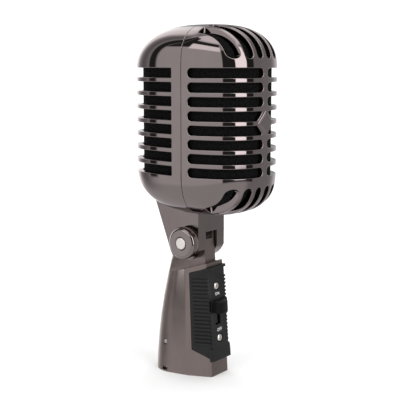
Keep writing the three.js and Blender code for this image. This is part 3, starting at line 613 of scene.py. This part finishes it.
def dome_slot(x0, half, above, start, end):
    """outline of a slot that runs from near the seam over the dome to a round end"""
    way = 1 if above else -1
    angles = np.linspace(math.pi, 2 * math.pi, 15)
    x_round = x0 + half * np.cos(angles)
    z_round = end + way * half + way * half * np.sin(angles)
    rounding = np.stack([x_round, dome_depth(x_round, z_round), z_round], axis=1)
    sides = []
    for x, y_end in ((x0 - half, rounding[0, 1]), (x0 + half, rounding[-1, 1])):
        y = np.linspace(-start, y_end, 60)[:-1]
        across = np.full(len(y), x)
        sides.append(np.stack([across, y, dome_height(across, y, above)], axis=1))
    x = np.linspace(x0 + half, x0 - half, 9)[1:-1]
    y = -start - 0.25 * np.abs((x - x0) / half) ** 4
    back = np.stack([x, y, dome_height(x, y, above)], axis=1)
    return even(np.concatenate([sides[0], rounding, sides[1][::-1], back]), 0.8)


def dome_slots():
    """outlines of the slots over both domes, whose walls go in square to X (axis 0)"""
    return [(dome_slot(mirror * centre, width / 2, above, start, end), 0)
            for above, start, end in DOMES for centre, width in DOME_SLOTS for mirror in (-1, 1)]


def shell(side, outlines):
    """half of the head: its outside, its seam edge and its slots with their walls"""
    skin = Skin()

    def flat(points):
        return head_flat(points, side)

    seam = even(seam_outline(side), 1.0)
    seam[:, 1] = side * SEAM_GAP
    normal = head_normals(seam, side)
    away = np.tile([0.0, side, 0.0], (len(seam), 1))
    away = unit(away - (away * normal).sum(axis=1)[:, None] * normal)
    skin.rim(seam, normal, away, -normal, SEAM_RIM, WALL, flat)
    outer = skin.loops[0]
    for points, axis in outlines:
        normal = head_normals(points, side)
        away = away_from(points, normal, points.mean(axis=0))
        inward = -normal
        if axis is not None:
            inward[:, axis] = 0
            inward = unit(inward)
        depth = SLOT_DEPTH if axis is None else FIN_DEPTH
        skin.rim(points, normal, away, inward, SLOT_RIM, depth, flat)
    grid = head_grid(side)
    grid = grid[side * grid[:, 1] > 0.8]
    skin.fill(outer, grid, head_normals(grid, side), head_flat(grid, side), 0.55)
    return skin.result()


def liner(side, inset):
    """foam that follows the inside of half of the head"""
    skin = Skin()
    grid = head_grid(side, 1.6, inset)
    grid = grid[side * grid[:, 1] > 3.2]
    edge = onto_head(even(seam_outline(side), 1.5) * 0.9 + [0, side * 3.4, 0], side, 1, inset)
    normal = head_normals(edge, side, inset)
    away = np.tile([0.0, side, 0.0], (len(edge), 1))
    skin.rim(edge, normal, away, -normal, 0.2, 1.0, lambda p: head_flat(p, side), 1)
    skin.fill(skin.loops[0], grid, head_normals(grid, side, inset), head_flat(grid, side), 0.8)
    return skin.result()


points, faces, normals = shell(-1, side_slots(-1) + dome_slots())
add_mesh("front_shell", points, faces, "head", GUNMETAL, HEAD, normals, ["front_grille"])
points, faces, normals = shell(1, side_slots(1))
add_mesh("rear_shell", points, faces, "head", GUNMETAL, HEAD, normals, ["rear_grille"])
points, faces, normals = liner(-1, FRONT_FOAM_INSET)
add_mesh("front_foam", points, faces, "head", FOAM, HEAD, normals, ["front_liner"])
points, faces, normals = liner(1, REAR_FOAM_INSET)
add_mesh("rear_foam", points, faces, "head", FOAM, HEAD, normals, ["rear_liner"])

# ---------- solids ----------


def clean(mesh, weld=None, flatten=None):
    """joins points closer than weld, merges faces within flatten degrees, and turns all faces out"""
    work = bmesh.new()
    work.from_mesh(mesh)
    if weld is not None:
        bmesh.ops.remove_doubles(work, verts=work.verts, dist=weld)
    if flatten is not None:
        bmesh.ops.dissolve_limit(work, angle_limit=math.radians(flatten), verts=work.verts, edges=work.edges)
    bmesh.ops.recalc_face_normals(work, faces=work.faces)
    work.to_mesh(mesh)
    work.free()


def closed_mesh(points, faces):
    """mesh with all faces turned out"""
    mesh = bpy.data.meshes.new("solid")
    mesh.from_pydata(np.asarray(points, float).tolist(), [], [list(map(int, f)) for f in faces])
    clean(mesh)
    return mesh


def tube_faces(levels, count):
    """faces between rings of count points, one ring after another"""
    return [(level * count + i, level * count + (i + 1) % count,
             (level + 1) * count + (i + 1) % count, (level + 1) * count + i)
            for level in range(levels - 1) for i in range(count)]


def loft(rings):
    """closed body through rings of equal point count"""
    count, last = len(rings[0]), (len(rings) - 1) * len(rings[0])
    ends = [tuple(range(count))[::-1], tuple(range(last, last + count))]
    return closed_mesh(np.concatenate(rings), ends + tube_faces(len(rings), count))


def prism(outline, low, high, axis):
    """outline in (y, z) for axis 0, (x, z) for axis 1, (x, y) for axis 2"""
    outline = np.asarray(outline, float)
    rings = []
    for at in (low, high):
        ring = np.full((len(outline), 3), float(at))
        ring[:, [k for k in range(3) if k != axis]] = outline
        rings.append(ring)
    return loft(rings)


def box(x, y, z):
    return prism([(x[0], y[0]), (x[1], y[0]), (x[1], y[1]), (x[0], y[1])], z[0], z[1], 2)


def rod(radius, low, high, axis, centre, count=64):
    angle = np.arange(count) * 2 * math.pi / count
    circle = np.stack([np.cos(angle), np.sin(angle)], axis=1) * radius + np.asarray(centre, float)
    return prism(circle, low, high, axis)


def taken_mesh(obj, *others):
    """the object's final mesh, once it and the others are removed"""
    mesh = bpy.data.meshes.new_from_object(obj.evaluated_get(bpy.context.evaluated_depsgraph_get()))
    for used in (obj, *others):
        bpy.data.objects.remove(used)
    return mesh


def combine(mesh, steps):
    """the solid after a list of (operation, other solid)"""
    whole = bpy.data.objects.new("whole", mesh)
    others = [bpy.data.objects.new("other", other) for _, other in steps]
    for obj in [whole] + others:
        link(obj)
    for (operation, _), other in zip(steps, others):
        modifier = whole.modifiers.new("combine", "BOOLEAN")
        modifier.operation = operation
        modifier.solver = "EXACT"
        modifier.object = other
    return taken_mesh(whole, *others)


def show_solid(name, mesh, body, material, replaces=(), bevel=0.3, segments=3, angle=32):
    """mesh in metres in the row frame; its sharp edges are rounded"""
    mesh.name = name
    mesh.materials.clear()
    mesh.materials.append(material)
    mesh.shade_smooth()
    obj = bpy.data.objects.new(name, mesh)
    link(obj)
    if bevel:
        modifier = obj.modifiers.new("edges", "BEVEL")
        modifier.width = bevel * MM
        modifier.segments = segments
        modifier.limit_method = "ANGLE"
        modifier.angle_limit = math.radians(angle)
        modifier.harden_normals = True
    else:
        mesh.set_sharp_from_angle(angle=math.radians(angle))
    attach(obj, body)
    if replaces:
        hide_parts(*replaces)
    return obj


def to_row(mesh, matrix):
    mesh.transform(Matrix.Scale(MM, 4) @ matrix)
    return mesh


def remake(node, body, material, bevel=0.2, segments=2, angle=35):
    """a CAD solid's own shape with whole faces and rounded edges"""
    mesh = NODES[node].data.copy()
    if mesh.has_custom_normals:
        mesh.attributes.remove(mesh.attributes["custom_normal"])
    clean(mesh, 1e-6, 1.5)
    return show_solid(node + "_piece", mesh, body, material, [node], bevel, segments, angle)


def soft_profile(profile, radius, segments=4):
    """open profile with its inner corners rounded"""
    profile = np.asarray(profile, float)
    out = [profile[0]]
    for before, at, after in zip(profile, profile[1:], profile[2:]):
        reach = min(radius, np.linalg.norm(before - at) * 0.45, np.linalg.norm(after - at) * 0.45)
        start, end = at + unit(before - at) * reach, at + unit(after - at) * reach
        for k in range(segments + 1):
            t = k / segments
            out.append(start * (1 - t) ** 2 + at * 2 * t * (1 - t) + end * t ** 2)
    out.append(profile[-1])
    return np.array(out)


def lathe(profile, axis, count=96):
    """surface of (radius, distance along the axis) pairs, about axis 0, 1 or 2"""
    angle = np.arange(count) * 2 * math.pi / count
    other = [k for k in range(3) if k != axis]
    points = []
    for radius, along in profile:
        ring = np.full((count, 3), float(along))
        ring[:, other[0]], ring[:, other[1]] = radius * np.cos(angle), radius * np.sin(angle)
        points.append(ring)
    return np.concatenate(points), tube_faces(len(profile), count)


def show_lathe(name, profile, axis, body, material, matrix, replaces=(), radius=0.25, count=96):
    """turned part; its profile is in millimetres along an axis of matrix"""
    points, faces = lathe(soft_profile(profile, radius), axis, count)
    obj = add_mesh(name, points, faces, body, material, matrix, replaces=replaces, sharp=28)
    clean(obj.data, 1e-7)


# ---------- emblem: a plain diamond with a raised rim ----------

EMBLEM_HALF, EMBLEM_ROWS = 6.5, 61
# distance in from the emblem's edge, and how far it stands out from the head there
EMBLEM_IN, EMBLEM_OUT = [0, 0.05, 0.3, 0.9, 1.25, 9], [0.0, 0.15, 0.38, 0.38, 0.26, 0.26]


def emblem():
    half, rows = EMBLEM_HALF, EMBLEM_ROWS
    t = np.linspace(-1, 1, rows)
    t = np.sign(t) * (1 - (1 - np.abs(t)) ** 1.5)
    u, v = np.meshgrid(t, t)
    x, z = half * (u - v) / 2, (half - 0.1) * (u + v) / 2
    edge = half * np.minimum(1 - np.abs(u), 1 - np.abs(v)) / math.sqrt(2)
    rise = np.interp(edge, EMBLEM_IN, EMBLEM_OUT)
    surface = FRONT * (1 - (np.abs(x) / HALF_WIDTH) ** PLAN_POWER[-1]) ** (1 / PLAN_POWER[-1])
    points = np.stack([x, -surface - rise, z], axis=2).reshape(-1, 3)
    faces = [(r * rows + c, r * rows + c + 1, (r + 1) * rows + c + 1, (r + 1) * rows + c)
             for r in range(rows - 1) for c in range(rows - 1)]
    add_mesh("emblem", points, faces, "head", GUNMETAL, HEAD, replaces=["emblem_plate"],
             sharp=40)


emblem()

# ---------- yoke and hinge ----------

CAP_RADIUS, CAP_FACE, CAP_INNER, CAP_OUTER = 9.0, 7.1, 13.7, 18.3
BOLT_HEAD, BOLT = 3.35, 2.4

remake("yoke", "head", YOKE_METAL, 0.35, 3)
show_lathe("pivot_disc", [
    (BOLT_HEAD + 0.2, -CAP_OUTER + 1.6), (BOLT_HEAD + 0.2, -CAP_OUTER + 0.25), (BOLT_HEAD + 0.65, -CAP_OUTER),
    (CAP_FACE, -CAP_OUTER), (CAP_FACE + 0.35, -CAP_OUTER + 0.12), (CAP_RADIUS - 0.95, -CAP_OUTER + 0.42),
    (CAP_RADIUS - 0.3, -CAP_OUTER + 1.05), (CAP_RADIUS, -CAP_OUTER + 1.9),
    (CAP_RADIUS, -CAP_INNER - 0.5), (CAP_RADIUS - 0.5, -CAP_INNER), (BOLT + 0.3, -CAP_INNER),
], 0, "head", GUNMETAL, HINGE, ["pivot_cap"], 0.35)
show_lathe("pivot_screw", [
    (0.001, -CAP_OUTER - 0.12), (BOLT_HEAD - 0.3, -CAP_OUTER - 0.1), (BOLT_HEAD, -CAP_OUTER + 0.2),
    (BOLT_HEAD, -CAP_INNER), (BOLT, -CAP_INNER), (BOLT, 11.0), (BOLT - 0.4, 11.3), (0.001, 11.3),
], 0, "head", BRIGHT, HINGE, ["pivot_bolt"], 0.2)
remake("pivot_nut", "head", STEEL, 0.25)
remake("friction_washer", "head", NYLON, 0.15)

# ---------- base ----------

HEIGHTS = np.array([0, 10, 20, 30, 40, 50, 60, 68.5])
BASE_DEPTH = np.polyfit(HEIGHTS, [43.9, 43.1, 41.9, 40.2, 37.9, 35.2, 32.1, 29.2], 3)
BACK_HALF = np.polyfit(HEIGHTS, [12.6, 11.6, 10.5, 9.5, 8.4, 7.2, 6.2, 5.5], 3)
BACK_START = np.polyfit(HEIGHTS, [27, 26.8, 26.5, 26, 25.2, 24.3, 22.6, 20], 3)
BACK_POWER, CREASE_BACK, CREASE_RISE = 2.2, 14.5, 2.0
FRONT_HALF, SIDE_SLOPE, BASE_TOP = 7.6, 0.28, 68.5
NECK_HALF, NECK_FRONT, LUG_RADIUS, LUG_BACK = 4.65, 2.8, 8.6, 16.6
SHOULDER, SHOULDER_FALL = 65.7, 0.268
STAND_AT, OUTLET_AT, PIVOT_AT, PIVOT_UP = 10.6, 31.4, 8.9, 78.1
NECK_WALL, COVER_HALF = 1.8, 8.05
# side (back, height) outline of the seat of the switch cover
COVER_SEAT = [(-2.5, 9.1), (11.3, 15.5), (10.3, 60.1), (-2.5, 63.5)]
# (radius, depth) of the bores in the underside, and (radius, height) of the outlet screw's hole
STAND_BORE, OUTLET_BORE, SCREW_HOLE = (9.3, 8.7), (9.2, 20.5), (1.7, 17.3)
LATCH_HALF, LATCH_LOW, LATCH_HIGH = 2.1, 0.8, 3.0


def curve_between(a, b, c, count):
    """points on the curve from a to c that starts and ends towards b"""
    t = np.linspace(0, 1, count)[:, None]
    return a * (1 - t) ** 2 + b * 2 * t * (1 - t) + c * t ** 2


def base_ring(height):
    """outline of the base at a height: flat front, sides that widen to a crease, and an oval back"""
    depth, back_half, back_start = (np.polyval(p, height) for p in (BASE_DEPTH, BACK_HALF, BACK_START))
    crease = CREASE_BACK - CREASE_RISE * height / BASE_TOP

    def side(back):
        return np.array([FRONT_HALF + SIDE_SLOPE * back, back])

    angle = np.linspace(0, math.pi / 2, 60)
    oval = np.stack([back_half * np.cos(angle) ** (2 / BACK_POWER),
                     back_start + (depth - back_start) * np.sin(angle) ** (2 / BACK_POWER)], axis=1)
    rough = np.concatenate([np.linspace(side(crease), oval[0], 40)[:-1], oval])
    length = np.concatenate([[0], np.cumsum(np.linalg.norm(np.diff(rough, axis=0), axis=1))])
    count, spare, window = 120, 20, 15
    at = np.linspace(0, length[-1], count)
    fine = np.stack([np.interp(at, length, rough[:, k]) for k in (0, 1)], axis=1)
    lead = fine[0] - (fine[1] - fine[0]) * np.arange(spare, 0, -1)[:, None]
    mirror = fine[-2:-2 - spare:-1] * [-1, 1]
    long = np.concatenate([lead, fine, mirror])
    weight = np.exp(-0.5 * (np.arange(-window, window + 1) / 5.0) ** 2)
    weight /= weight.sum()
    smooth = np.stack([np.convolve(long[:, k], weight, "same") for k in (0, 1)], axis=1)
    smooth = smooth[spare:spare + count]
    smooth[-1, 0] = 0
    corner = curve_between(np.array([FRONT_HALF - 0.6, 0]), np.array([FRONT_HALF, 0.0]), side(0.6), 5)
    fold = curve_between(side(crease - 0.9), smooth[0], smooth[4], 6)
    half = np.concatenate([corner, np.linspace(side(0.6), side(crease - 0.9), 6)[1:-1], fold,
                           smooth[5::3], smooth[-1:] if (len(smooth) - 6) % 3 else smooth[:0]])
    ring = np.concatenate([half, half[:-1][::-1] * [-1, 1]])
    return np.column_stack([ring, np.full(len(ring), height)])


def hexahedron(corners, half_at):
    """corners are (back, height); the width grows with back"""
    rings = [np.array([[side * half_at(back), back, height] for back, height in corners]) for side in (-1, 1)]
    return loft(rings)


def base_solid():
    """the base's casting with its neck, seats, bores and windows"""
    body = loft([base_ring(h) for h in np.linspace(0, BASE_TOP, 36)])
    lug = combine(rod(LUG_RADIUS, -NECK_HALF, NECK_HALF, 0, (PIVOT_AT, PIVOT_UP), 96), [
        ("UNION", box((-NECK_HALF, NECK_HALF), (NECK_FRONT, LUG_BACK), (SHOULDER - 6, PIVOT_UP))),
        ("INTERSECT", box((-20, 20), (NECK_FRONT, LUG_BACK), (0, 120)))])
    shoulder = [(-5, SHOULDER + 5 * SHOULDER_FALL), (50, SHOULDER - 50 * SHOULDER_FALL), (50, 90), (-5, 90)]
    inner = NECK_HALF - NECK_WALL
    return combine(body, [
        ("UNION", lug),
        ("DIFFERENCE", prism(shoulder, NECK_HALF, 40, 0)),
        ("DIFFERENCE", prism(shoulder, -40, -NECK_HALF, 0)),
        ("DIFFERENCE", box((-40, 40), (-9, NECK_FRONT), (SHOULDER - 0.4, 120))),
        ("DIFFERENCE", hexahedron(COVER_SEAT, lambda back: COVER_HALF + SIDE_SLOPE * back)),
        ("DIFFERENCE", box((-inner, inner), (NECK_FRONT + NECK_WALL, LUG_BACK - NECK_WALL), (55, 100))),
        ("DIFFERENCE", box((-inner, inner), (-5, 30), (PIVOT_UP + 0.4, 120))),
        ("DIFFERENCE", rod(BOLT + 0.3, -40, 40, 0, (PIVOT_AT, PIVOT_UP))),
        ("DIFFERENCE", rod(STAND_BORE[0], -1, STAND_BORE[1], 2, (0, STAND_AT), 96)),
        ("DIFFERENCE", rod(OUTLET_BORE[0], -1, OUTLET_BORE[1], 2, (0, OUTLET_AT), 96)),
        ("DIFFERENCE", rod(SCREW_HOLE[0], -40, 0, 0, (OUTLET_AT, SCREW_HOLE[1]), 32)),
        ("DIFFERENCE", box((-40, 0), (OUTLET_AT - LATCH_HALF, OUTLET_AT + LATCH_HALF),
                           (LATCH_LOW, LATCH_HIGH))),
    ])


show_solid("base_casting", to_row(base_solid(), BASE), "base", BASE_METAL, ["base_housing"],
           0.3, 3, 34)

# ---------- switch ----------

remake("switch_cover", "base", PLASTIC, 0.22, 2, 25)
remake("switch_knob", "switch_slider", KNOB_PLASTIC, 0.45, 3)
remake("switch_actuator", "switch_slider", KNOB_PLASTIC, 0.15)
remake("switch_body", "base", DARK_STEEL_AND_HOLE_SHADE, 0.3)
remake("transformer", "base", DARK_STEEL_AND_HOLE_SHADE, 0.4)


# the cover's front leans back: how far it is ahead at the bottom, the bottom's height, and the run
PANEL_LEAD, PANEL_FROM, PANEL_RUN = 1.6, 9.4, 53.8
SCREW_TURN, CROSS_ARM, CROSS_REACH = 28, 0.27, 1.25
MARK_SIZE, MARK_RAISE = 2.5, 0.03


def panel_at(height):
    """how far the cover's front is ahead of the front of the base"""
    return PANEL_LEAD - (height - PANEL_FROM) / PANEL_RUN


def cover_screw(name, height):
    """domed screw with a cross recess"""
    face = panel_at(height)
    points, faces = lathe(soft_profile([
        (0.001, face + 0.28), (1.2, face + 0.2), (1.75, face - 0.05), (2.05, face - 0.4), (2.05, face - 1.1),
        (1.1, face - 1.1), (1.1, -7.5), (0.001, -7.5)], 0.15), 1, 64)
    head = closed_mesh(points * [1, -1, 1] + [0, 0, height], faces)
    clean(head, 0.002)
    arm, reach = (-CROSS_ARM, CROSS_ARM), (-CROSS_REACH, CROSS_REACH)
    deep = (-face - 1, -face + 0.55)
    turn = Matrix.Translation((0, 0, height)) @ Matrix.Rotation(math.radians(SCREW_TURN), 4, "Y")
    slots = []
    for x, z in ((arm, reach), (reach, arm)):
        slot = box(x, deep, z)
        slot.transform(turn)
        slots.append(("DIFFERENCE", slot))
    show_solid(name + "_piece", to_row(combine(head, slots), BASE), "base", BRIGHT, [name],
               0.05, 2, 30)


cover_screw("cover_screw_upper", 51.4)
cover_screw("cover_screw_lower", 21.4)


def panel_mark(name, text, height):
    """raised lettering on the cover's front"""
    curve = bpy.data.curves.new(name, "FONT")
    curve.body = text
    curve.size = MARK_SIZE
    curve.align_x = "CENTER"
    curve.align_y = "CENTER"
    curve.extrude = MARK_RAISE
    curve.offset = MARK_RAISE
    maker = bpy.data.objects.new(name, curve)
    link(maker)
    mesh = taken_mesh(maker)
    lean = 1 / PANEL_RUN
    turn = Matrix(((1, 0, 0), (0, lean, -1), (0, 1, lean))).to_4x4()
    turn.translation = (0, -panel_at(height) - 0.02, height)
    show_solid(name, to_row(mesh, BASE @ turn), "base", PRINT, bevel=0)


panel_mark("mark_on", "ON", 47.0)
panel_mark("mark_off", "OFF", 26.3)

# ---------- outlet and stand thread ----------

STAND = BASE @ Matrix.Translation((0, STAND_AT, 0))

remake("outlet_shell", "base", STEEL, 0.12)
remake("outlet_insulator", "base", PLASTIC, 0.2)
for number in (1, 2, 3):
    remake(f"outlet_pin_{number}", "base", BRASS, 0)
# the outlet screw takes the dark steel so that it looks as dark as the shade inside its hole: painted shade
remake("outlet_screw", "base", DARK_STEEL_AND_HOLE_SHADE, 0.1)


BUSH_RADIUS, BUSH_TOP = 9.0, 8.4
THREAD_RADIUS, THREAD_DEPTH, THREAD_PITCH = 7.5, 0.4, 0.94


def stand_thread():
    """bush with a fine thread cut inside"""
    count, rows = 96, 90
    angle = np.arange(count) * 2 * math.pi / count
    rings = []
    for radius, height in ((BUSH_RADIUS, BUSH_TOP), (BUSH_RADIUS, 0.25), (8.85, 0.1), (8.1, 0.1)):
        rings.append((np.full(count, radius), np.full(count, height)))
    for height in np.linspace(0.5, BUSH_TOP, rows):
        phase = (height / THREAD_PITCH - angle / (2 * math.pi)) % 1
        groove = 1 - np.abs(2 * phase - 1)
        cut = THREAD_DEPTH * groove * min(1, (BUSH_TOP - height) + 0.2)
        rings.append((THREAD_RADIUS + cut, np.full(count, height)))
    points = np.concatenate([np.stack([r * np.cos(angle), r * np.sin(angle), h], axis=1) for r, h in rings])
    add_mesh("stand_thread", points, tube_faces(len(rings), count), "base", BRASS, STAND,
             replaces=["stand_bush"], sharp=50)


stand_thread()

# ---------- inside the head ----------

for node, material, slot in (
        ("seam_band", DARK_STEEL_AND_HOLE_SHADE, "dark_steel"), ("capsule_cap", DARK_STEEL_AND_HOLE_SHADE, "dark_steel"),
        ("capsule_housing", DARK_STEEL_AND_HOLE_SHADE, "dark_steel"), ("diaphragm", FILM, "film"),
        ("voice_coil", COPPER, "copper_wire"), ("magnet", DARK_STEEL_AND_HOLE_SHADE, "dark_steel"),
        ("pole_disc", STEEL, "bright_steel"), ("pole_cup", STEEL, "bright_steel"),
        ("shock_ring_front", RUBBER, "rubber"), ("shock_ring_rear", RUBBER, "rubber"),
        ("capsule_carrier", DARK_STEEL_AND_HOLE_SHADE, "dark_steel"), ("yoke_screw_1", STEEL, "bright_steel"),
        ("yoke_screw_2", STEEL, "bright_steel"), ("yoke_screw_3", STEEL, "bright_steel")):
    remake(node, "head", material, 0)

# ---------- floor and light ----------


FLOOR_HALF = 6.0


def add_stage():
    """plain pale floor that does not show in reflections"""
    mesh = bpy.data.meshes.new("floor")
    corners = [(x * FLOOR_HALF, y * FLOOR_HALF, 0) for x, y in ((-1, -1), (1, -1), (1, 1), (-1, 1))]
    mesh.from_pydata(corners, [], [(0, 1, 2, 3)])
    g = Graph("floor")
    g.set(Base_Color=g.mix(g.noise(3), (0.90, 0.90, 0.90), (0.93, 0.93, 0.93)), Roughness=0.95,
          Specular_IOR_Level=0.0)
    mesh.materials.append(g.material)
    floor = bpy.data.objects.new("floor", mesh)
    floor.visible_glossy = False
    link(floor)


# A plain light room. Directions are in degrees: round from -X towards the front, and up.
ROOM_LOW, ROOM_MIDDLE, ROOM_HIGH = 0.62, 0.78, 1.5
LOW_EDGE, HIGH_EDGE = (-18, -13), (48, 58)
# soft light panels and dark flags: (from, to) round, (from, to) up, softness, brightness
PANELS = [
    ((100, 165), (-90, 52), 12, 0.38),
    ((28, 66), (35, 95), 5, 0.5),
    ((-150, -58), (60, 95), 5, 0.5),
    ((-135, -94), (-14, 57), 8, 1.6),
    ((-84, -58), (-20, 61), 12, 0.26),
    ((-150, -138), (-22, 52), 2, 0.3),
    ((-38, 24), (27, 42), 1.5, 1.8),
    ((-59, -50), (-8, 60), 1.5, 0.04),
    ((-50, -38), (30, 59), 1.5, 0.04),
    ((-40, 24), (40, 50), 1.5, 0.04),
    ((26, 117), (-16, 33), 1.5, 0.04),
    ((61, 95), (-11, 60), 1.5, 2.7),
]
LEVEL, BACKDROP = 1.35, 1.25


def add_world():
    """the room lights the scene by direction, and the camera sees a plain backdrop"""
    world = bpy.data.worlds.new("studio")
    world.use_nodes = True
    tree = world.node_tree

    def node(kind, inputs=(), **settings):
        return new_node(tree, kind, inputs, **settings)

    def maths(operation, a, b=0.0):
        return node("ShaderNodeMath", {0: a, 1: b}, operation=operation).outputs[0]

    def step(value, low, high):
        return node("ShaderNodeMapRange", {"Value": value, "From Min": low, "From Max": high},
                    interpolation_type="SMOOTHSTEP").outputs["Result"]

    def blend(share, a, b):
        made = node("ShaderNodeMix", {"Factor": share, "A": a, "B": b}, data_type="FLOAT")
        return made.outputs["Result"]

    def within(value, span, soft):
        above = step(value, span[0] - soft, span[0] + soft)
        below = step(maths("MULTIPLY", value, -1), -span[1] - soft, soft - span[1])
        return maths("MULTIPLY", above, below)

    along = node("ShaderNodeSeparateXYZ", {"Vector": node("ShaderNodeTexCoord").outputs["Generated"]}).outputs
    behind = maths("MULTIPLY", along["Y"], -1)
    round_ = maths("MULTIPLY", maths("ARCTAN2", behind, maths("MULTIPLY", along["X"], -1)), 180 / math.pi)
    up = maths("MULTIPLY", maths("ARCSINE", along["Z"]), 180 / math.pi)
    value = blend(step(up, *LOW_EDGE), ROOM_LOW, ROOM_MIDDLE)
    value = blend(step(up, *HIGH_EDGE), value, ROOM_HIGH)
    for sideways, upright, soft, bright in PANELS:
        share = maths("MULTIPLY", within(round_, sideways, soft), within(up, upright, soft))
        value = blend(share, value, bright)
    value = maths("MULTIPLY", value, LEVEL)
    seen = node("ShaderNodeLightPath").outputs["Is Camera Ray"]
    tree.links.new(blend(seen, value, BACKDROP), tree.nodes["Background"].inputs["Color"])
    bpy.context.scene.world = world


add_world()
add_stage()
bpy.context.scene.view_settings.view_transform = "Standard"
